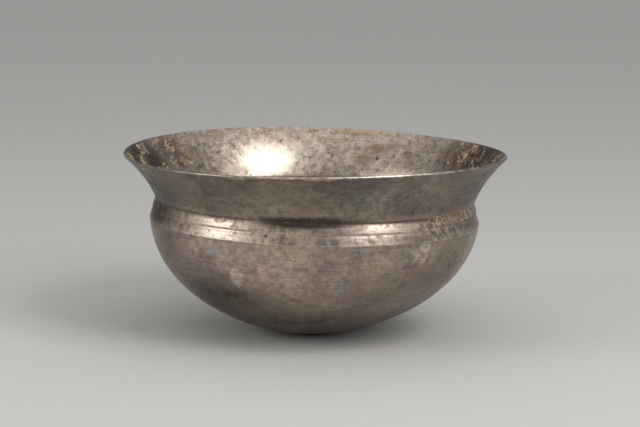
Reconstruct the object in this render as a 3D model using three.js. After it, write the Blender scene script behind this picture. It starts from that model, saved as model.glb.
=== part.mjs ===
// A deep silver bowl, raised by hammer from one round sheet of metal. From the ground up its wall is
// a small flattened rest, a belly that is a little pointed below, two low bands chased round the
// shoulder, a sharp crease, and a neck that flares to a thin round lip.
// Millimetres and degrees, +Z up. The origin is the centre of the rest, on the surface below it.
import * as THREE from "three";

// Driving dimensions
const rimRadius = 75; // axis to the outermost edge of the lip
const creaseRadius = 62.5; // the narrowest place above the belly
const grooveRadius = 63.5; // the corner between the two bands
const bellyRadius = 64.7; // where the belly's arc would stand upright
const restRadius = 10; // flattened spot that the bowl stands on

const bellyHeight = 44.8; // rest to the lower band
const lowerBandHeight = 3.6;
const upperBandHeight = 4;
const neckHeight = 18.8; // crease to the top of the lip

const uprightHeight = 46.5; // height at which the belly's arc would stand upright
const pointing = 8.6; // the belly's arc is centred this far beyond the axis, so it meets in a point
const neckLean = 20; // from upright, where the neck leaves the crease
const straightNeck = 9.4; // height up to which that lean carries before the flare takes over
const bandStep = 0.25; // each band's lower edge stands this proud of what is below it
const bandCrown = 0.15; // and its face swells this much
const wall = 0.9; // thickness of the metal, also the diameter of the rounded lip

// How finely the curves are cut into flats
const turns = 72;
const bellySteps = 15;
const bandSteps = 3;
const neckSteps = 8;
const lipSteps = 4;

const grooveHeight = bellyHeight + lowerBandHeight;
const creaseHeight = grooveHeight + upperBandHeight;
const bowlHeight = creaseHeight + neckHeight;

const point = (radius, height) => new THREE.Vector2(radius, height);
const radians = THREE.MathUtils.degToRad;

// An arc of an ellipse from the edge of the rest up to the lower band.
function bellyLine() {
  const across = bellyRadius + pointing;
  const startAngle = Math.asin((restRadius + pointing) / across);
  const down = uprightHeight / Math.cos(startAngle);
  const endAngle = Math.acos((uprightHeight - bellyHeight) / down);
  const line = [];
  for (let i = 0; i <= bellySteps; i++) {
    const angle = THREE.MathUtils.lerp(startAngle, endAngle, i / bellySteps);
    line.push(point(across * Math.sin(angle) - pointing, uprightHeight - down * Math.cos(angle)));
  }
  return line;
}

// The face of one band, from its proud lower edge up to the corner that ends it.
function bandLine(low, high) {
  const edge = point(low.x + bandStep, low.y + bandStep);
  const out = point(high.y - edge.y, edge.x - high.x).normalize();
  const line = [];
  for (let i = 0; i < bandSteps; i++) {
    const along = i / bandSteps;
    const swell = bandCrown * Math.sin(Math.PI * along);
    line.push(edge.clone().lerp(high, along).addScaledVector(out, swell));
  }
  return line;
}

// The round edge of the lip, which the neck's curve runs into.
const lipRadius = wall / 2;
const lipCentre = point(rimRadius - lipRadius, bowlHeight - lipRadius);
const crease = point(creaseRadius, creaseHeight);
const neckBend = point(
  creaseRadius + straightNeck * Math.tan(radians(neckLean)),
  creaseHeight + straightNeck,
);
const towardsLip = lipCentre.clone().sub(neckBend);
const lipLean = Math.atan2(towardsLip.x, towardsLip.y) + Math.asin(lipRadius / towardsLip.length());

function lipLine() {
  const line = [];
  for (let i = 1; i < lipSteps; i++) {
    const angle = Math.PI * (i / lipSteps) - lipLean;
    line.push(point(Math.cos(angle), Math.sin(angle)).multiplyScalar(lipRadius).add(lipCentre));
  }
  return line;
}

// The flaring neck, leaving the crease at its own lean and touching the lip's round.
function neckLine() {
  const touch = point(Math.cos(lipLean), -Math.sin(lipLean)).multiplyScalar(lipRadius).add(lipCentre);
  return new THREE.QuadraticBezierCurve(crease, neckBend, touch).getPoints(neckSteps);
}

// The same line moved inwards by the wall, with its corners mitred.
function inset(line) {
  return line.map((here, i) => {
    const before = line[Math.max(i - 1, 0)];
    const after = line[Math.min(i + 1, line.length - 1)];
    const into = before.equals(here) ? after.clone().sub(here) : here.clone().sub(before);
    const onward = after.equals(here) ? into.clone() : after.clone().sub(here);
    const first = point(-into.y, into.x).normalize();
    const second = point(-onward.y, onward.x).normalize();
    const mitre = first.clone().add(second).normalize();
    return mitre.multiplyScalar(wall / mitre.dot(first)).add(here);
  });
}

const restCentre = point(0, 0);
const belly = bellyLine();
const bellyTop = belly[belly.length - 1];
const groove = point(grooveRadius, grooveHeight);
const neck = neckLine();

const outside = [
  restCentre,
  ...belly,
  ...bandLine(bellyTop, groove),
  groove,
  ...bandLine(groove, crease),
  ...neck,
];
const inside = inset([restCentre, ...belly, groove, ...neck]).reverse();
inside[inside.length - 1].x = 0;

const silver = new THREE.MeshStandardMaterial({ color: 0x8b7f75, metalness: 1, roughness: 0.38 });
const bowl = new THREE.Mesh(new THREE.LatheGeometry([...outside, ...lipLine(), ...inside], turns), silver);
bowl.name = "bowl";
bowl.rotation.x = Math.PI / 2; // a lathe turns about Y, and the bowl stands on Z

const vessel = new THREE.Group();
vessel.add(bowl);

export default vessel;
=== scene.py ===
import math

import bpy
import numpy as np
from mathutils import Matrix, Vector, noise


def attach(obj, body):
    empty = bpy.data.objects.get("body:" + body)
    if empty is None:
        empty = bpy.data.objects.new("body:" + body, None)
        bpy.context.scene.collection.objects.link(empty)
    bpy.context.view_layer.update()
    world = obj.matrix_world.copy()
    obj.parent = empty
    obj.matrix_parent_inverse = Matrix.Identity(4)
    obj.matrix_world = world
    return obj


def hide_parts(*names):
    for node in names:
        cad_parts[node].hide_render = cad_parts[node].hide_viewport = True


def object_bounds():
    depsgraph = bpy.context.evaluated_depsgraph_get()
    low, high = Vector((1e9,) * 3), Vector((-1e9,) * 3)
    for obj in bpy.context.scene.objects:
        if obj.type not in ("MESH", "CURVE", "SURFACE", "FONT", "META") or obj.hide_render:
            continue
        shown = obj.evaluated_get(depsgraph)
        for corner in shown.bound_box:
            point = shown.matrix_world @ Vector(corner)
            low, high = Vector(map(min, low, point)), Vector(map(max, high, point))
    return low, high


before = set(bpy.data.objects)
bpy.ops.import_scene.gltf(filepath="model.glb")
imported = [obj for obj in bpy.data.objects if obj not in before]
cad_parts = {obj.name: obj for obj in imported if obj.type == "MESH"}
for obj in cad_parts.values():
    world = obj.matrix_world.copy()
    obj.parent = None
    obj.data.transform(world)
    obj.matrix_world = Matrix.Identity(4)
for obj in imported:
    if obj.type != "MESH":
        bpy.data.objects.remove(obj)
cadLow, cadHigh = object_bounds()
mm = 0.001
print("frame loaded")


def linear(hexColour):
    # sRGB hex to the linear values that the sockets want
    channels = []
    for i in (1, 3, 5):
        c = int(hexColour[i:i + 2], 16) / 255
        channels.append(c / 12.92 if c <= 0.04045 else ((c + 0.055) / 1.055) ** 2.4)
    return (*channels, 1.0)


def addNode(tree, kind, inputs=(), out=0, **settings):
    # inputs: one value for each socket in turn, or a dictionary by socket name or number. An output of
    # another node is linked, and anything else is set. out: which output of the new node to give back
    node = tree.nodes.new("ShaderNode" + kind)
    for name, value in settings.items():
        setattr(node, name, value)
    named = inputs if isinstance(inputs, dict) else dict(enumerate(inputs))
    for name, value in named.items():
        socket = node.inputs[name]
        if isinstance(value, bpy.types.NodeSocket):
            tree.links.new(value, socket)
        else:
            socket.default_value = value
    return node.outputs[out] if node.outputs else None


# settings that many nodes share
soft = {"interpolation_type": "SMOOTHSTEP"}              # a MapRange without hard ends
coloured = {"data_type": "RGBA", "out": 2}               # a Mix of colours: share 0, first 6, second 7
times = {"operation": "MULTIPLY"}
timesPlus = {"operation": "MULTIPLY_ADD"}                # the first times the second, plus the third


def newMaterial(name):
    # an empty material, and the point on the piece in millimetres for its patterns
    material = bpy.data.materials.new(name)
    material.use_nodes = True
    tree = material.node_tree
    tree.nodes.clear()
    metres = addNode(tree, "TexCoord", out="Object")
    return material, tree, addNode(tree, "VectorMath", {0: metres, "Scale": 1 / mm}, operation="SCALE")


def addObject(name, data):
    thing = bpy.data.objects.new(name, data)
    bpy.context.collection.objects.link(thing)
    return thing


def ramp(value, start, full):
    # 0 up to start and 1 from full on; full may lie below start
    return np.clip((value - start) / (full - start), 0, 1)


def bell(value, middle, half):
    return np.exp(-((value - middle) / half) ** 2)


# the bowl's section: half an outline, radius and height, that turns about the Z axis
bowlShape = {
    "creaseRadius": 62.5,      # narrowest place above the belly
    "grooveRadius": 63.5,      # corner between the two bands
    "bellyRadius": 64.7,       # where the belly's arc would stand upright
    "restRadius": 10.0,        # flattened spot that the bowl stands on
    "bellyHeight": 44.1,       # lower edge of the lower band
    "lowerBandHeight": 4.3,
    "upperBandHeight": 4.0,
    "uprightHeight": 46.5,     # height at which the belly's arc would stand upright
    "pointing": 8.6,           # the arc is centred this far beyond the axis
    "neckLean": 20.0,          # degrees from upright at the crease
    "straightNeck": 9.4,       # height up to which that lean carries
    "bandStep": 0.2,           # each band's lower edge stands this proud of what is below it
    "bandCrown": 0.15,         # and its face swells this much
    "wall": 0.9,
    "bandSoftness": 0.22,      # worn edges of the bands
    "restSoftness": 1.2,       # the rest has a far softer edge
    "restFade": (3.0, 9.0),    # heights between which the one gives way to the other
    "insideSoftness": 0.8,     # the bands hardly show inside
    "linePitch": 0.05,         # spacing along the outline before it is cut into rings
}

rimRadius = (cadHigh[0] - cadLow[0]) / 2 / mm
bowlHeight = cadHigh[2] / mm
bellyHeight = bowlShape["bellyHeight"]
grooveHeight = bellyHeight + bowlShape["lowerBandHeight"]
creaseHeight = grooveHeight + bowlShape["upperBandHeight"]

lipRadius = bowlShape["wall"] / 2
lipCentre = np.array([rimRadius - lipRadius, bowlHeight - lipRadius])
crease = np.array([bowlShape["creaseRadius"], creaseHeight])
groove = np.array([bowlShape["grooveRadius"], grooveHeight])
neckBend = crease + bowlShape["straightNeck"] * np.array([math.tan(math.radians(bowlShape["neckLean"])), 1])
towardsLip = lipCentre - neckBend
lipLean = math.atan2(towardsLip[0], towardsLip[1]) + math.asin(lipRadius / np.linalg.norm(towardsLip))


def bellyLine(steps=120):
    # an arc of an ellipse from the edge of the rest up to the lower band
    across = bowlShape["bellyRadius"] + bowlShape["pointing"]
    start = math.asin((bowlShape["restRadius"] + bowlShape["pointing"]) / across)
    down = bowlShape["uprightHeight"] / math.cos(start)
    end = math.acos((bowlShape["uprightHeight"] - bellyHeight) / down)
    turn = np.linspace(start, end, steps)
    return np.stack([across * np.sin(turn) - bowlShape["pointing"],
                     bowlShape["uprightHeight"] - down * np.cos(turn)], axis=1)


def bandLine(low, high, steps=24):
    # the face of one band, from its proud lower edge up to the corner that ends it
    edge = low + bowlShape["bandStep"]
    out = np.array([high[1] - edge[1], edge[0] - high[0]])
    out /= np.linalg.norm(out)
    share = np.linspace(0, 1, steps)[:, None]
    return edge + (high - edge) * share + out * bowlShape["bandCrown"] * np.sin(np.pi * share)


def neckLine(steps=60):
    # the flare, leaving the crease at its own lean and touching the lip's round
    touch = lipCentre + lipRadius * np.array([math.cos(lipLean), -math.sin(lipLean)])
    t = np.linspace(0, 1, steps)[:, None]
    return (1 - t) ** 2 * crease + 2 * t * (1 - t) * neckBend + t ** 2 * touch


def lengthsOf(line):
    # length from the axis along the line, at each of its points
    return np.concatenate([[0], np.cumsum(np.linalg.norm(np.diff(line, axis=0), axis=1))])


def evenLine(line):
    lengths = lengthsOf(line)
    at = np.linspace(0, lengths[-1], int(lengths[-1] / bowlShape["linePitch"]) + 1)
    return np.stack([np.interp(at, lengths, line[:, 0]), np.interp(at, lengths, line[:, 1])], axis=1)


def softened(line, softness):
    # rounds the corners of an even line with a bell that ends at 4 softnesses; both ends stay in place
    reach = int(4 * softness / bowlShape["linePitch"])
    weights = np.exp(-0.5 * (np.arange(-reach, reach + 1) * bowlShape["linePitch"] / softness) ** 2)
    weights /= weights.sum()
    before = 2 * line[0] - line[reach:0:-1]
    after = 2 * line[-1] - line[-2:-reach - 2:-1]
    padded = np.concatenate([before, line, after])
    return np.stack([np.convolve(padded[:, i], weights, "valid") for i in (0, 1)], axis=1)


def sectionLines():
    rest = np.zeros((1, 2))
    belly = bellyLine()
    neck = neckLine()
    bands = [bandLine(belly[-1], groove), bandLine(groove, crease)]
    outer = evenLine(np.concatenate([rest, belly, *bands, neck[1:]]))
    high = ramp(outer[:, 1], *bowlShape["restFade"])[:, None]
    atRest, atBands = (softened(outer, bowlShape[name]) for name in ("restSoftness", "bandSoftness"))
    outer = atRest * (1 - high) + atBands * high
    outer[:, 1] -= outer[:, 1].min()
    # the inside follows the belly and the neck a wall's thickness away, without the bands
    middle = softened(evenLine(np.concatenate([rest, belly, [groove], neck])), bowlShape["insideSoftness"])
    along = np.gradient(middle, axis=0)
    along /= np.linalg.norm(along, axis=1)[:, None]
    inner = middle + bowlShape["wall"] * np.stack([-along[:, 1], along[:, 0]], axis=1)
    for line in (outer, inner):
        line[0, 0] = 0
    return outer, inner


# each face of the sheet: its line and the lengths along it
faceLines = {side: (line, lengthsOf(line)) for side, line in zip(("outer", "inner"), sectionLines())}
outerEnd = faceLines["outer"][1][-1]


def onLine(side, along):
    # radius and height at a length along one face
    line, lengths = faceLines[side]
    return np.interp(along, lengths, line[:, 0]), np.interp(along, lengths, line[:, 1])


def alongAt(side, height):
    # length along one face at which it reaches a height
    line, lengths = faceLines[side]
    return float(np.interp(height, np.maximum.accumulate(line[:, 1]), lengths))


# what the maker's hand and the years did to the true round
handShape = {
    "lipWave": (0.26, 0.315, -0.375, -0.63),  # rise of the lip: cos, sin, and cos and sin of twice the angle
    "shoulderTilt": 0.62,                     # the bands sit lower on the right
    "tiltCentre": 48.5,
    "tiltReach": 9.0,
    "bottomDrift": 1.6,                       # the belly's low point lies left of the axis
    "driftBelow": 48.0,
    "hammerSwell": 0.10,                      # broad planishing marks
    "hammerPitch": 17.0,
    "dentSwell": 0.035,
    "dentPitch": 6.5,
    "restCalm": 6.0,                          # height over which the swells start above the rest
    "lipCalm": 4.0,                           # and die away below the lip
    "lipSwell": 0.25,                         # share of them that is left at its top
}


def handWorked(radius, height, angle):
    # radius and height in mm and angle in radians, arrays that fit each other; gives x, y, z in mm
    radius, height, angle = np.broadcast_arrays(radius, height, angle)
    cosine, sine = np.cos(angle), np.sin(angle)
    wave = np.stack([cosine, sine, np.cos(2 * angle), np.sin(2 * angle)], axis=-1) @ handShape["lipWave"]
    tilt = cosine * bell(height, handShape["tiltCentre"], handShape["tiltReach"])
    rise = ramp(height, creaseHeight, bowlHeight) * wave - handShape["shoulderTilt"] * tilt
    drift = handShape["bottomDrift"] * ramp(height, handShape["driftBelow"], 0) ** 2
    swell = np.empty(radius.shape)
    for i, point in enumerate(zip((radius * cosine).flat, (radius * sine).flat, height.flat)):
        place = Vector(point)
        swell.flat[i] = (handShape["hammerSwell"] * noise.noise(place / handShape["hammerPitch"])
                         + handShape["dentSwell"] * noise.noise(place / handShape["dentPitch"]))
    swell *= ramp(height, 0, handShape["restCalm"])
    swell *= np.minimum((bowlHeight - height) / handShape["lipCalm"] + handShape["lipSwell"], 1)
    return np.stack([(radius + swell) * cosine - drift, (radius + swell) * sine,
                     np.maximum(height + rise, 0)], axis=-1)


# stains: angle in degrees (0 right, -90 front), height, half width, half height, amount
# the shade lists are painted shade, and the dark, pale and pink lists hold painted light as well as stains
stainsAndPaintedLight = {
    "outer": {
        # shade: painted shade, smooth, mostly on the sides of the neck and of the belly
        "shade": [(-168, 61, 27, 11, 0.68), (-10, 61, 27, 11, 0.66), (-158, 42, 17, 10, 0.35),
                  (-128, 20, 20, 9, 0.25), (-20, 48, 22, 5, 0.4), (-40, 26, 18, 10, 0.18)],
        "brown": [(-112, 66, 7, 2.5, 0.6), (-88, 48, 5, 1.2, 0.7), (-150, 50, 9, 2.4, 0.6),
                  (-36, 51.4, 14, 2.6, 0.8), (-94, 53.2, 9, 1.0, 0.9), (-60, 50.8, 7, 0.7, 0.6),
                  (-128, 54, 5, 1.2, 0.4), (150, 50, 20, 3, 0.6), (70, 40, 12, 6, 0.45),
                  (110, 22, 14, 9, 0.5), (30, 52.8, 12, 1.5, 0.7), (95, 64, 16, 4, 0.4),
                  (-20, 64, 5, 3, 0.35), (-97, 70.2, 11, 0.8, 0.8), (-165, 66, 6, 3, 0.3)],
        # dark: soot and dirt, with painted shade in the crease, on the neck's sides, and low on the front of
        # the belly where it reflects the floor's shadow
        "dark": [(-93, 52.6, 20, 2.1, 1.2), (-128, 21, 22, 8, 0.5), (-64, 29, 14, 8, 0.3),
                 (-96, 60, 3, 2, 0.4), (-150, 62, 16, 11, 0.35), (-28, 62, 16, 11, 0.35),
                 (-152, 36, 12, 13, 0.4), (-95, 12, 26, 6, 0.5), (20, 30, 16, 14, 0.4),
                 (160, 26, 18, 12, 0.45), (60, 58, 14, 4, 0.4), (-128, 52.2, 34, 0.7, 0.7),
                 (-60, 52.3, 34, 0.7, 0.6), (-74, 66, 12, 2.5, 0.25), (-162, 49, 18, 5, 0.95),
                 (-60, 46.2, 18, 1.9, 0.62), (-20, 49, 14, 4, 0.6), (-86, 48, 12, 3.4, 0.35),
                 (-34, 32, 16, 13, 0.5), (-62, 26, 16, 7, 0.4)],
        # pale: paler patches, with a painted glint on the lip's left front and a painted reflection low on
        # the front of the belly
        "pale": [(-118, 30.8, 2.7, 4.0, 1.0), (-50, 40.4, 6, 5.0, 0.55), (-104, 58.5, 1.8, 1.6, 0.5),
                 (-152, 68.6, 1.8, 0.5, 1.0), (-100, 40, 10, 5, 0.35), (-112, 27, 13, 6, 0.3),
                 (40, 38, 9, 6, 0.4), (-57, 36, 4, 3, 0.35), (100, 44, 14, 4, 0.35)],
        "blue": [(-128, 39.6, 3.4, 1.3, 0.9), (-80, 27.7, 2.0, 2.6, 0.9), (-103, 58.5, 2.6, 2.2, 0.6),
                 (-68, 62, 12, 6, 0.5), (-57, 64, 6, 3, 0.4), (-75, 33, 8, 3, 0.3), (120, 34, 9, 6, 0.5),
                 (-96, 36, 5, 2, 0.3)],
        # pink: a pinkish tint, whose large patch low on the front is also a painted reflection
        "pink": [(-106, 32, 20, 9, 0.8), (-140, 40, 10, 5, 0.6), (-42, 22, 10, 9, 0.7),
                 (-85, 24, 10, 5, 0.5), (85, 30, 22, 10, 0.5)],
    },
    "inner": {
        # shade: painted shade inside, by the rim at the left and the right
        "shade": [(178, 64, 24, 9, 0.35), (8, 64, 26, 9, 0.4), (150, 62, 14, 8, 0.15)],
        "brown": [(71, 59.8, 4, 2.4, 0.9), (68, 64, 6, 2.6, 0.9), (60, 66.5, 6, 1.6, 0.7),
                  (52, 61, 4, 4, 0.6), (84, 67, 5, 1.5, 0.5), (30, 64, 16, 6, 0.6), (10, 66, 16, 5, 0.7),
                  (-15, 66, 18, 5, 0.6), (150, 66, 12, 3, 0.5), (175, 64, 14, 5, 0.55),
                  (200, 66, 16, 5, 0.5), (128, 69.5, 10, 1.2, 0.6), (250, 60, 20, 8, 0.5),
                  (300, 50, 18, 9, 0.5), (90, 30, 20, 9, 0.4), (76, 69.5, 12, 0.9, 0.5)],
        "dark": [(176, 65, 26, 8, 1.1), (153, 66, 14, 7, 0.55), (14, 65, 30, 9, 1.0), (145, 68, 9, 3, 0.5),
                 (5, 63, 20, 7, 0.8), (35, 60, 9, 3, 0.5), (200, 58, 24, 9, 0.7), (340, 56, 20, 9, 0.6),
                 (120, 55, 12, 2.5, 0.3), (100, 70, 8, 0.7, 0.4)],
        # pale: paler patches, with a painted highlight on the back of the flare
        "pale": [(108, 60, 15, 6, 0.8), (80, 60, 10, 4, 0.35), (50, 65, 6, 3, 0.3), (125, 62, 8, 5, 0.4)],
        "blue": [(84, 69, 6, 1.8, 0.5), (118, 69, 5, 1.4, 0.4), (60, 69, 6, 1.2, 0.3)],
        "pink": [(130, 62, 14, 5, 0.4), (45, 62, 10, 5, 0.4)],
    },
}
stainFall = 0.7          # a stain is down to about half its amount at its half width or half height
stainFlatness = 1.3      # over 1: flatter in the middle than a bell, and quicker at the edge


def stainAndPaintedLightField(side, kind, angle, height, radius):
    field = np.zeros(angle.shape)
    for place, level, halfWidth, halfHeight, amount in stainsAndPaintedLight[side][kind]:
        turn = (angle - math.radians(place) + math.pi) % (2 * math.pi) - math.pi
        reach = (turn * radius / halfWidth) ** 2 + ((height - level) / halfHeight) ** 2
        field = np.maximum(field, amount * np.exp(-stainFall * reach ** stainFlatness))
    return field


# where hands have worn the metal bright, where dirt has clung, and painted shade in the crease, all the way
# round
wear = {
    "lipTurn": 288,                # degrees: the front of the lip is worn bright, the rest is duller
    "lipSpread": 0.62,             # radians to either side
    "lipBright": 0.75,
    "lipDull": 0.08,
    "lipOnset": 0.3,
    "bandBright": 0.22,
    "bandOnset": 0.4,
    "bandFade": 1.5,               # below the crease
    "edgeBright": 0.16,            # each band's lower edge
    "edgeAbove": 0.5,
    "edgeHalf": 0.35,
    "clingAmount": 0.40,           # thin brown film on the bands and in the crease
    "clingFrom": (-0.6, 0.2),      # starts and is full, from the bands' lower edge
    "clingTo": (1.6, 0.0),         # gone and still full, from the crease
    # the crease: painted shade, with some dirt
    "creaseShadeAndDirt": 0.75,
    "creaseHalf": 0.75,
    "sootAndShadeHideBrown": (1.1667, 0.3333),   # amount of soot and painted shade at which no brown shows, and at which all does
    "sootAndShadeHideShine": (0.7692, 0.0),      # the same for worn metal, up to a little over the crease
    "shineFreeAbove": 2.0,
}


def bowlFields(radius, height, angle, inside, along):
    # what the material reads at each point: the face, the length along it, and an amount of each stain and of
    # painted light
    fields = {"inside": inside, "along": along}
    for kind in stainsAndPaintedLight["outer"]:
        outer, inner = (stainAndPaintedLightField(side, kind, angle, height, radius) for side in ("outer", "inner"))
        fields[kind] = np.where(inside > 0.5, inner, outer)
    sootAndShade = fields["dark"]
    front = bell(angle, math.radians(wear["lipTurn"]), wear["lipSpread"])
    lip = ramp(along, outerEnd, outerEnd + wear["lipOnset"]) * (wear["lipDull"] + wear["lipBright"] * front)
    bands = wear["bandBright"] * ramp(height, bellyHeight, bellyHeight + wear["bandOnset"])
    bands = bands * ramp(height, creaseHeight, creaseHeight - wear["bandFade"])
    lowEdge, highEdge = (bell(height, corner + wear["edgeAbove"], wear["edgeHalf"])
                         for corner in (bellyHeight, grooveHeight))
    worn = np.maximum(lip, bands + wear["edgeBright"] * np.maximum(lowEdge, highEdge))
    dulled = np.where(height < creaseHeight + wear["shineFreeAbove"], ramp(sootAndShade, *wear["sootAndShadeHideShine"]), 1)
    film = ramp(height, *(bellyHeight + d for d in wear["clingFrom"]))
    film = film * ramp(height, *(creaseHeight + d for d in wear["clingTo"]))
    clear = ramp(sootAndShade, *wear["sootAndShadeHideBrown"])
    brown = np.maximum(fields["brown"], wear["clingAmount"] * film) * clear
    dark = np.maximum(sootAndShade, wear["creaseShadeAndDirt"] * bell(height, creaseHeight, wear["creaseHalf"]))
    fields["worn"] = np.where(inside > 0.5, 0, worn * dulled)
    fields["brown"] = np.where(inside > 0.5, fields["brown"], brown)
    fields["dark"] = np.where(inside > 0.5, sootAndShade, dark)
    return fields


# how the bowl's mesh is cut: rings outside up to the lip, round it, and down the inside
bowlMesh = {
    "turns": 448,
    "bellyPitch": 1.5,
    "bandPitch": 0.22,         # fine from a little below the bands to a little over the crease
    "fineBelow": 0.8,
    "fineAbove": 1.2,
    "neckPitch": 0.9,
    "lipRings": 7,
    "innerFineAbove": 1.5,     # from here down the inside takes every second ring
    "axisGap": 0.5,            # no ring is nearer the axis
    "mapEdge": 0.01,           # margin round each half of the map for baked images
}


def ringPlaces(side):
    places = [faceLines[side][1][-1]]
    while places[-1] > bowlMesh["axisGap"]:
        height = onLine(side, places[-1])[1]
        pitch = bowlMesh["neckPitch"] if height > creaseHeight else bowlMesh["bellyPitch"]
        if bellyHeight - bowlMesh["fineBelow"] < height < creaseHeight + bowlMesh["fineAbove"]:
            pitch = bowlMesh["bandPitch"]
        places.append(places[-1] - pitch)
    return np.array(places[:-1])


def bowlRings():
    # radius, height, inside (0 or 1) and length along its face, for each ring
    outer = ringPlaces("outer")[::-1]
    inner = ringPlaces("inner")
    fine = inner > alongAt("inner", creaseHeight + bowlMesh["innerFineAbove"])
    inner = np.concatenate([inner[fine], inner[~fine][::2]])
    step = np.arange(1, bowlMesh["lipRings"] + 1)
    turn = math.pi * step / (bowlMesh["lipRings"] + 1)
    lip = lipCentre + lipRadius * np.stack([np.cos(turn - lipLean), np.sin(turn - lipLean)], axis=1)
    lipInside = step > (bowlMesh["lipRings"] + 1) / 2
    radius, height = (np.concatenate([onLine("outer", outer)[i], lip[:, i], onLine("inner", inner)[i]])
                      for i in (0, 1))
    inside = np.concatenate([np.zeros(len(outer)), lipInside, np.ones(len(inner))])
    along = np.concatenate([outer, outerEnd + lipRadius * turn, inner])
    return radius, height, inside, along


def bowlFaces(inside):
    # faces between the rings and to the two points on the axis, with each corner's place on the bake
    # map: the outside in its lower half and the inside in its upper
    turns, count = bowlMesh["turns"], len(inside)
    edge, half = bowlMesh["mapEdge"], 0.5 - 2 * bowlMesh["mapEdge"]
    split = int(np.argmax(inside))
    rows = np.concatenate([edge + half * (np.arange(split) + 1) / split,
                           0.5 + edge + half * np.arange(count - split) / (count - split)])
    first, last = count * turns, count * turns + 1
    faces = []
    mapU = []
    mapV = []
    for j in range(turns):
        after = (j + 1) % turns
        u, uAfter = j / turns, (j + 1) / turns
        faces.append((first, after, j))
        mapU += [(u + uAfter) / 2, uAfter, u]
        mapV += [edge, rows[0], rows[0]]
        for i in range(count - 1):
            faces.append((i * turns + j, i * turns + after, (i + 1) * turns + after, (i + 1) * turns + j))
            low = 0.5 + edge / 2 if i == split - 1 else rows[i]
            mapU += [u, uAfter, uAfter, u]
            mapV += [low, low, rows[i + 1], rows[i + 1]]
        end = (count - 1) * turns
        faces.append((end + j, end + after, last))
        mapU += [u, uAfter, (u + uAfter) / 2]
        mapV += [rows[-1], rows[-1], 1 - edge / 2]
    return faces, np.stack([mapU, mapV], axis=1)


def buildBowl():
    radius, height, inside, along = (values[:, None] for values in bowlRings())
    angle = np.arange(bowlMesh["turns"])[None, :] * 2 * math.pi / bowlMesh["turns"]
    points = handWorked(radius, height, angle).reshape(-1, 3)
    poles = [handWorked(0.0, faceLines[side][0][0, 1], 0.0) for side in ("outer", "inner")]
    faces, corners = bowlFaces(inside[:, 0])
    mesh = bpy.data.meshes.new("bowl_raised_silver")
    mesh.from_pydata((np.concatenate([points, poles]) * mm).tolist(), [], faces)
    bakeMap = mesh.uv_layers.new(name="OFBake")
    bakeMap.data.foreach_set("uv", corners.ravel().astype(np.float32))
    grids = np.broadcast_arrays(radius, height, angle, inside, along)
    for name, field in bowlFields(*grids).items():
        poleValues = [0.0, 1.0] if name == "inside" else [0.0, 0.0]
        attribute = mesh.attributes.new(name, "FLOAT", "POINT")
        attribute.data.foreach_set("value", np.concatenate([field.ravel(), poleValues]).astype(np.float32))
    mesh.shade_smooth()
    mesh.validate()
    return addObject("bowl_silver", mesh)


bowl = buildBowl()
print("bowl:", len(bowl.data.polygons), "faces")


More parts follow.
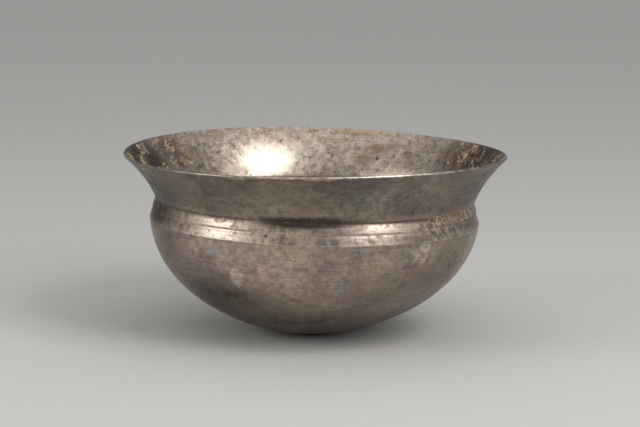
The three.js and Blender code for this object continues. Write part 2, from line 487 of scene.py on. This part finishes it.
# the silver's colours and patterns
silverLook = {
    "warmGrey": "#a89989",       # thin tarnish of the outside, cleaned
    "violetGrey": "#8f8079",
    "greenGrey": "#86867a",
    "blueGrey": "#939ba2",
    # a pinkish tint, and the painted reflection low on the front
    "pink": "#b8a397",
    # paler patches, and the painted glint, highlight and reflection
    "pale": "#d2c5b6",
    "innerSilver": "#c8b9ac",    # brighter, less worn metal inside
    "innerGrey": "#958677",
    "brown": "#765f4a",
    # the dark stains, the pits and the painted shade
    "sootAndShadeBrown": "#2f2520",
    "worn": "#ded2c2",           # bare metal on the lip and the edges of the bands
    # each pattern: size in mm, detail, roughness, warp
    "patterns": {
        "clouds": (24.0, 4.0, 0.55, 0.6),
        "patches": (9.0, 5.0, 0.6, 0.4),
        "flecks": (3.4, 4.0, 0.7, 0.0),     # small brown corrosion flecks of the inside
        "mottle": (2.6, 5.0, 0.65, 0.0),    # etched grain, drawn coarser than the real 0.3 mm to show
        "pits": (2.1, 2.0, 0.5, 0.0),
        "specks": (1.1, 3.0, 0.6, 0.0),
        "streaks": (1.0, 3.0, 0.6, 0.0),    # burnishing lines, stretched to the two sizes below
    },
    "streakWidth": 0.55,         # drawn wider than the real 0.1 mm
    "streakLength": 16.0,
    # colours laid over the first one of each face: pattern, where it starts and is full, cover, colour
    "outerLayers": [("clouds", 0.38, 0.62, 1.0, "violetGrey"), ("patches", 0.52, 0.68, 0.7, "greenGrey")],
    "innerLayers": [("patches", 0.36, 0.70, 0.55, "innerGrey"), ("flecks", 0.46, 0.66, 0.75, "innerGrey"),
                    ("flecks", 0.60, 0.72, 0.8, "brown")],
    "pinkBreak": (0.3, 0.6, 0.5, 1.0),      # patches that thin the pink, and to what
    "bellyPaintedShade": (2.0, 30.0, 0.72, 1.13),     # painted shade: heights between which the belly gets lighter, from and to
    "neckPaintedShade": (52.0, 56.0, 1.0, 0.70),   # and painted shade makes the neck darker
    # stains and painted light: where they start and are full, how ragged their edges are, cover, colour
    "stainsAndPaintedLight": {
        "pale": (0.3, 0.75, 0.22, 0.9, "pale"),
        "blue": (0.3, 0.9, 0.4, 0.6, "blueGrey"),
        "dark": (0.15, 1.0, 0.45, 0.86, "sootAndShadeBrown"),
        "brown": (0.3, 0.9, 0.9, 0.8, "brown"),
    },
    "stainWander": (("patches", 1.7), ("mottle", 3.2)),     # what makes the edges ragged, and by how much
    "stainOnset": (0.02, 0.2),              # keeps the raggedness near the stains
    "wornBreak": (0.36, 0.56, 0.45, 1.0),
    # light and dark grain over it all: pattern, where it is darkest and lightest, and how much
    "speckle": [("mottle", 0.32, 0.68, 0.76, 1.20), ("specks", 0.30, 0.70, 0.90, 1.08),
                ("patches", 0.34, 0.66, 0.92, 1.08), ("streaks", 0.30, 0.72, 0.90, 1.12)],
    "pitCover": (0.70, 0.76, 0.0, 0.7),
    "roughness": (0.3, 0.7, 0.31, 0.44),    # by the mottle
    "sootAndShadeDull": 0.6,            # against the brown stains
    "dullRougher": 0.22,
    "wornSmoother": 0.10,
    "brownLessMetal": 0.55,
    "streakRelief": 0.35,
    "dullRelief": 0.6,
    "reliefDepth": 0.12,
    "reliefStrength": 0.22,
}


def tarnishedSilver():
    # raised, burnished silver that tarnished in the ground and was cleaned unevenly: the eye sees a soft
    # metal sheen broken by brown, violet and green-grey clouds, with dull stains
    look = silverLook
    material, tree, place = newMaterial("tarnishedRaisedSilver")
    painted = {name: addNode(tree, "Attribute", out="Fac", attribute_name=name)
               for name in ("inside", "along", "shade", "pink", "worn", *look["stainsAndPaintedLight"])}
    # burnishing lines run round the bowl: thin along the section and long across it
    axes = addNode(tree, "SeparateXYZ", [place]).node.outputs
    lined = addNode(tree, "CombineXYZ", [axes[0], axes[1], painted["along"]])
    stretch = (1 / look["streakLength"], 1 / look["streakLength"], 1 / look["streakWidth"])
    lined = addNode(tree, "VectorMath", [lined, stretch], **times)
    pattern = {}
    for name, (size, detail, rough, warp) in look["patterns"].items():
        pattern[name] = addNode(tree, "TexNoise", {"Vector": lined if name == "streaks" else place,
                                                   "Scale": 1 / size, "Detail": detail,
                                                   "Roughness": rough, "Distortion": warp})

    coats = {}
    for face, first in (("outer", "warmGrey"), ("inner", "innerSilver")):
        colour = linear(look[first])
        for name, start, full, cover, paint in look[face + "Layers"]:
            amount = addNode(tree, "MapRange", [pattern[name], start, full, 0.0, cover], **soft)
            colour = addNode(tree, "Mix", {0: amount, 6: colour, 7: linear(look[paint])}, **coloured)
        coats[face] = colour
    pink = addNode(tree, "MapRange", [pattern["patches"], *look["pinkBreak"]], **soft)
    pink = addNode(tree, "Math", [painted["pink"], pink], **times)
    outer = addNode(tree, "Mix", {0: pink, 6: coats["outer"], 7: linear(look["pink"])}, **coloured)
    # painted shade: darker towards the bottom of the belly and on the neck
    bellyPaintedShade = addNode(tree, "MapRange", [axes[2], *look["bellyPaintedShade"]], **soft)
    neckPaintedShade = addNode(tree, "MapRange", [axes[2], *look["neckPaintedShade"]], **soft)
    shade = addNode(tree, "Math", [bellyPaintedShade, neckPaintedShade], **times)
    outer = addNode(tree, "Mix", {0: 1.0, 6: outer, 7: shade}, blend_type="MULTIPLY", **coloured)
    colour = addNode(tree, "Mix", {0: painted["inside"], 6: outer, 7: coats["inner"]}, **coloured)
    paintedShadeTone = addNode(tree, "Math", [1.0, painted["shade"]], operation="SUBTRACT")     # painted shade, even and without grain
    colour = addNode(tree, "Mix", {0: 1.0, 6: colour, 7: paintedShadeTone}, blend_type="MULTIPLY", **coloured)

    # the edge of each stain and patch of painted light is moved to and fro by the patterns
    wander = 0.0
    for name, reach in look["stainWander"]:
        centred = addNode(tree, "Math", [pattern[name], reach, -0.5 * reach], **timesPlus)
        wander = addNode(tree, "Math", [centred, wander])
    shown = {}
    for name, (start, full, ragged, cover, paint) in look["stainsAndPaintedLight"].items():
        moved = addNode(tree, "Math", [wander, ragged, painted[name]], **timesPlus)
        broken = addNode(tree, "MapRange", [moved, start, full], **soft)
        near = addNode(tree, "MapRange", [painted[name], *look["stainOnset"]], **soft)
        shown[name] = addNode(tree, "Math", [broken, near], **times)
        amount = addNode(tree, "Math", [shown[name], cover], **times)
        colour = addNode(tree, "Mix", {0: amount, 6: colour, 7: linear(look[paint])}, **coloured)

    worn = addNode(tree, "MapRange", [pattern["mottle"], *look["wornBreak"]], **soft)
    worn = addNode(tree, "Math", [painted["worn"], worn], **times)
    colour = addNode(tree, "Mix", {0: worn, 6: colour, 7: linear(look["worn"])}, **coloured)
    tone = 1.0
    for name, *span in look["speckle"]:
        grain = addNode(tree, "MapRange", [pattern[name], *span], **soft)
        tone = addNode(tree, "Math", [grain, tone], **times)
    colour = addNode(tree, "Mix", {0: 1.0, 6: colour, 7: tone}, blend_type="MULTIPLY", **coloured)
    pits = addNode(tree, "MapRange", [pattern["pits"], *look["pitCover"]], **soft)
    colour = addNode(tree, "Mix", {0: pits, 6: colour, 7: linear(look["sootAndShadeBrown"])}, **coloured)

    # stains, and the painted shade in the dark mask, are duller and rougher than the metal, and the brown
    # ones less metallic
    dull = addNode(tree, "Math", [shown["dark"], look["sootAndShadeDull"]], **times)
    dull = addNode(tree, "Math", [shown["brown"], dull], operation="MAXIMUM")
    roughness = addNode(tree, "MapRange", [pattern["mottle"], *look["roughness"]], **soft)
    roughness = addNode(tree, "Math", [dull, look["dullRougher"], roughness], **timesPlus)
    roughness = addNode(tree, "Math", [worn, -look["wornSmoother"], roughness], **timesPlus)
    metallic = addNode(tree, "Math", [shown["brown"], -look["brownLessMetal"], 1.0], **timesPlus)
    relief = addNode(tree, "Math", [pattern["streaks"], look["streakRelief"], pattern["mottle"]], **timesPlus)
    relief = addNode(tree, "Math", [dull, -look["dullRelief"], relief], **timesPlus)
    bump = addNode(tree, "Bump", {"Height": relief, "Strength": look["reliefStrength"],
                                  "Distance": look["reliefDepth"] * mm})
    surface = addNode(tree, "BsdfPrincipled", {"Base Color": colour, "Metallic": metallic,
                                               "Roughness": roughness, "Normal": bump})
    addNode(tree, "OutputMaterial", [surface])
    return material


bowl.data.materials.append(tarnishedSilver())
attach(bowl, "root")
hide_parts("bowl")
print("silver painted")


# burial crust, raised off the metal: thin patches with a real edge
crustShape = {
    "pitch": 0.24,
    "sink": 0.06,              # how far a patch's edge goes into the metal
    "body": 0.25,              # how far its back lies under its face, so that each patch is a closed body
    "crown": 1.6,              # highest lump, in thicknesses
    "meanRadius": 68.0,        # turns a patch's angles into a number of columns
    "fadeRows": 5,             # cells over which a patch thins out towards its sides
    "fadeColumns": 24,
    "lipFrom": 70.0,           # a patch that reaches this height runs out on the lip without thinning
    "patchSpread": 2.8,        # patches against the size of their lumps
    "lumpPitch": 1.7,
    "mix": (0.7, 0.3),         # how much the patches and the lumps say where crust lies
    "coverGain": 0.9,
    "fadeGain": 0.8,
    "ridgeHalf": 0.17,         # twisted ridges: half their width, and how far and how finely they twist
    "ridgeTwist": 0.5,
    "twistPitch": 0.6,
    "twistSeed": 5,            # without a seed the twist would differ from run to run
    "ridgeSteepness": 6.0,
    "wormSteepness": 5.0,
    "lumpSteepness": 2.2,      # patches: how steeply they rise, and the grain on them
    "roughening": 0.35,
    "roughPitch": 3.0,
}
# angles in degrees, heights and thickness in mm; worm: twisted ridges rather than patches
crusts = {
    "crust_inside_left": {"side": "inner", "angles": (132, 214), "heights": (58.5, 70.7), "thick": 0.34,
                          "size": 2.0, "worm": True, "cover": 0.46, "seed": 3.1},
    "crust_inside_right": {"side": "inner", "angles": (-24, 56), "heights": (61.0, 70.8), "thick": 0.26,
                           "size": 1.7, "worm": True, "cover": 0.34, "seed": 7.7},
    "crust_inside_rim": {"side": "inner", "angles": (56, 132), "heights": (68.6, 70.7), "thick": 0.22,
                         "size": 2.4, "worm": False, "cover": 0.34, "seed": 12.9},
    "crust_lip_front": {"side": "outer", "angles": (-122, -76), "heights": (69.0, 70.9), "thick": 0.26,
                        "size": 1.7, "worm": False, "cover": 0.50, "seed": 21.3},
    "crust_shoulder_right": {"side": "outer", "angles": (-52, 6), "heights": (48.6, 54.4), "thick": 0.13,
                             "size": 1.0, "worm": False, "cover": 0.36, "mix": (0.3, 0.7), "seed": 5.2},
    "crust_crease": {"side": "outer", "angles": (-112, -76), "heights": (51.7, 53.9), "thick": 0.12,
                     "size": 0.9, "worm": False, "cover": 0.34, "mix": (0.3, 0.7), "seed": 9.4},
    "crust_shoulder_back": {"side": "outer", "angles": (60, 118), "heights": (48.8, 54.0), "thick": 0.24,
                            "size": 1.2, "worm": False, "cover": 0.40, "mix": (0.35, 0.65), "seed": 15.6},
}
crustLook = {
    "earth": "#84705a",
    "paleEarth": "#aa967a",
    "hollows": "#5d4733",
    "patterns": {"clouds": (6.0, 3.0, 0.5), "grains": (0.9, 5.0, 0.65)},      # size in mm, detail, roughness
    "layers": [("clouds", 0.36, 0.64, "paleEarth"), ("grains", 0.50, 0.70, "hollows")],
    "roughness": (0.3, 0.7, 0.62, 0.9),      # by the grains
    "reliefStrength": 0.4,
    "reliefDepth": 0.15,
}


def burialCrust():
    # baked-on earth and corrosion: the eye sees dry tan grains with darker hollows, no shine
    look = crustLook
    material, tree, place = newMaterial("burialEarthCrust")
    pattern = {}
    for name, (size, detail, rough) in look["patterns"].items():
        pattern[name] = addNode(tree, "TexNoise", {"Vector": place, "Scale": 1 / size, "Detail": detail,
                                                   "Roughness": rough})
    colour = linear(look["earth"])
    for name, start, full, paint in look["layers"]:
        amount = addNode(tree, "MapRange", [pattern[name], start, full], **soft)
        colour = addNode(tree, "Mix", {0: amount, 6: colour, 7: linear(look[paint])}, **coloured)
    roughness = addNode(tree, "MapRange", [pattern["grains"], *look["roughness"]], **soft)
    bump = addNode(tree, "Bump", {"Height": pattern["grains"], "Strength": look["reliefStrength"],
                                  "Distance": look["reliefDepth"] * mm})
    surface = addNode(tree, "BsdfPrincipled", {"Base Color": colour, "Roughness": roughness, "Normal": bump})
    addNode(tree, "OutputMaterial", [surface])
    return material


def crustRise(place, crust, fade):
    # how high the crust stands at a place; below 0 there is none
    shape = crustShape
    shift = Vector((crust["seed"], -crust["seed"], 2 * crust["seed"]))
    here = place / crust["size"] + shift
    broad, fine = crust.get("mix", shape["mix"])
    cover = broad * noise.noise(place / (crust["size"] * shape["patchSpread"]) + shift)
    cover += fine * noise.noise(here * shape["lumpPitch"])
    cover += (crust["cover"] - 0.5) * shape["coverGain"] + (fade - 1) * shape["fadeGain"]
    if crust["worm"]:
        twist = shape["ridgeTwist"] * noise.noise_vector(here * shape["twistPitch"])
        ridge = shape["ridgeHalf"] - abs(noise.noise(here + twist))
        lump = min(ridge * shape["ridgeSteepness"], 1) if ridge > 0 else ridge
        return min(lump, cover * shape["wormSteepness"]) * crust["thick"]
    rough = shape["roughening"] * noise.noise(here * shape["roughPitch"])
    return (cover * shape["lumpSteepness"] + rough) * crust["thick"]


def closedCells(kept):
    # the cells that touch a kept point. Two that meet only at a corner would leave an open seam, so the
    # gap beside them is filled, three times over because a filled gap can make the next one
    cells = kept[:-1, :-1] | kept[1:, :-1] | kept[:-1, 1:] | kept[1:, 1:]
    for repeat in range(3):
        falling = cells[:-1, :-1] & cells[1:, 1:] & ~cells[1:, :-1] & ~cells[:-1, 1:]
        cells[1:, :-1] |= falling
        rising = cells[1:, :-1] & cells[:-1, 1:] & ~cells[:-1, :-1] & ~cells[1:, 1:]
        cells[:-1, :-1] |= rising
    return cells


def crustFace(crust):
    # points of the crust's face over a fine grid on the wall, and at which of them there is crust
    shape = crustShape
    low, high = (alongAt(crust["side"], height) for height in crust["heights"])
    start, end = (math.radians(angle) for angle in crust["angles"])
    rows = int((high - low) / shape["pitch"])
    columns = int((end - start) * shape["meanRadius"] / shape["pitch"])
    along = np.linspace(low, high, rows)[:, None]
    angle = np.linspace(start, end, columns)[None, :]
    points = handWorked(*onLine(crust["side"], along), angle)
    normals = np.cross(np.gradient(points, axis=1), np.gradient(points, axis=0))
    normals /= np.linalg.norm(normals, axis=2)[:, :, None]
    if crust["side"] == "inner":
        normals = -normals
    row, column = np.arange(rows)[:, None], np.arange(columns)[None, :]
    ends = row if crust["heights"][1] > shape["lipFrom"] else np.minimum(row, rows - 1 - row)
    sides = np.minimum(column, columns - 1 - column)
    fade = np.minimum(np.minimum(ends / shape["fadeRows"], sides / shape["fadeColumns"]), 1)
    rise = np.array([[crustRise(Vector(points[i, j]), crust, fade[i, j]) for j in range(columns)]
                     for i in range(rows)])
    lift = np.clip(rise, -shape["sink"], crust["thick"] * shape["crown"])
    return points + normals * lift[:, :, None], rise > 0


def buildCrust(name, crust, material):
    top, kept = crustFace(crust)
    number = {}
    faces = []
    for i, j in zip(*np.nonzero(closedCells(kept))):
        corners = [(i, j), (i, j + 1), (i + 1, j + 1), (i + 1, j)]
        face = [number.setdefault(corner, len(number)) for corner in corners]
        faces.append(face[::-1] if crust["side"] == "inner" else face)
    mesh = bpy.data.meshes.new(name)
    mesh.from_pydata([(top[corner] * mm).tolist() for corner in number], [], faces)
    mesh.shade_smooth()
    mesh.materials.append(material)
    piece = addObject(name, mesh)
    thicken = piece.modifiers.new("closed", "SOLIDIFY")
    thicken.thickness = crustShape["body"] * mm
    thicken.offset = -1
    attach(piece, "root")
    print(name + ":", len(faces), "faces")


crustMaterial = burialCrust()
noise.seed_set(crustShape["twistSeed"])
for crustName, crust in crusts.items():
    buildCrust(crustName, crust, crustMaterial)
print("crust built")


# floor, softboxes and the light of the room
studio = {
    "floorHalf": 9.0,            # metres
    "paper": "#c9c8c5",
    "paperShade": "#b5b4b1",
    "paperRoughness": 0.9,
    "paperGloss": 0.2,
    "fibreSize": 3.846,          # drawn coarser than the real 0.1 mm, so that a trace of it shows
    "fibreDetail": 3.0,
    "fibreSpan": (0.3, 0.7, 0.0, 0.12),
    "aimHeight": 45.0,           # where the softboxes point
    # turn from the camera's side to the right and height in degrees, distance and size in metres, watts
    "softboxes": {
        "key_softbox": {"turn": 46, "height": 35, "distance": 0.95, "size": (0.44, 0.84), "power": 5.8},
        "side_softbox": {"turn": -66, "height": 18, "distance": 0.85, "size": (0.38, 0.36), "power": 2.3},
    },
    # a grey room: pale at the horizon, dim above the camera, brighter overhead
    "sky": [(0.0, "#bcbcbc"), (0.18, "#8c8c8c"), (0.5, "#727272"), (0.8, "#b4b4b4"), (1.0, "#ebebeb")],
    "skyStrength": 1.25,
}


def buildFloor():
    # matte studio paper: a faint grain keeps it from being one flat tone
    material, tree, place = newMaterial("mattePaperFloor")
    fibres = addNode(tree, "TexNoise", {"Vector": place, "Scale": 1 / studio["fibreSize"],
                                        "Detail": studio["fibreDetail"]})
    amount = addNode(tree, "MapRange", [fibres, *studio["fibreSpan"]], **soft)
    tone = addNode(tree, "Mix", {0: amount, 6: linear(studio["paper"]), 7: linear(studio["paperShade"])},
                   **coloured)
    surface = addNode(tree, "BsdfPrincipled", {"Base Color": tone, "Roughness": studio["paperRoughness"],
                                               "Specular IOR Level": studio["paperGloss"]})
    addNode(tree, "OutputMaterial", [surface])
    half = studio["floorHalf"]
    mesh = bpy.data.meshes.new("floor")
    mesh.from_pydata([(-half, -half, 0), (half, -half, 0), (half, half, 0), (-half, half, 0)], [],
                     [(0, 1, 2, 3)])
    mesh.materials.append(material)
    floor = addObject("floor", mesh)


def addSoftbox(name, box):
    across, up = math.radians(box["turn"]), math.radians(box["height"])
    aim = Vector((0, 0, studio["aimHeight"] * mm))
    away = Vector((math.sin(across) * math.cos(up), -math.cos(across) * math.cos(up), math.sin(up)))
    light = bpy.data.lights.new(name, "AREA")
    light.shape = "RECTANGLE"
    light.size, light.size_y = box["size"]
    light.energy = box["power"]
    lamp = addObject(name, light)
    facing = away.to_track_quat("Z", "Y").to_matrix().to_4x4()
    lamp.matrix_world = Matrix.Translation(aim + away * box["distance"]) @ facing
    lamp.visible_camera = False


def buildSky():
    world = bpy.data.worlds.new("room")
    bpy.context.scene.world = world
    world.use_nodes = True
    tree = world.node_tree
    tree.nodes.clear()
    direction = addNode(tree, "TexCoord", out="Generated")
    up = addNode(tree, "SeparateXYZ", [direction], out=2)
    tint = addNode(tree, "ValToRGB", [up])
    elements = tint.node.color_ramp.elements
    while len(elements) < len(studio["sky"]):
        elements.new(0.5)
    for element, (position, colour) in zip(elements, studio["sky"]):
        element.position = position
        element.color = linear(colour)
    glow = addNode(tree, "Background", [tint, studio["skyStrength"]])
    addNode(tree, "OutputWorld", [glow])


buildFloor()
for boxName, box in studio["softboxes"].items():
    addSoftbox(boxName, box)
buildSky()
print("studio lit")


# where the camera stands, and its lens
cameraPlace = {
    "location": (-2.91, -825.0, 176.7),
    "aim": (2.15, 0.0, 46.45),
    "roll": 0.935,               # degrees; the bowl leans clockwise in the picture
    "lens": 119.19,
    "sensor": 36.0,
    "clip": (0.05, 60.0),        # metres
}


def buildCamera():
    data = bpy.data.cameras.new("camera")
    data.lens = cameraPlace["lens"]
    data.sensor_width = cameraPlace["sensor"]
    data.clip_start, data.clip_end = cameraPlace["clip"]
    camera = addObject("camera", data)
    eye = Vector(cameraPlace["location"]) * mm
    ahead = (Vector(cameraPlace["aim"]) * mm - eye).normalized()
    roll = math.radians(cameraPlace["roll"])
    side = ahead.cross(Vector((-math.sin(roll), 0, math.cos(roll)))).normalized()
    turned = Matrix((side, side.cross(ahead), -ahead)).transposed().to_4x4()
    camera.matrix_world = Matrix.Translation(eye) @ turned
    bpy.context.scene.camera = camera


buildCamera()
bpy.context.scene.view_settings.view_transform = "Standard"

print("scene ready")
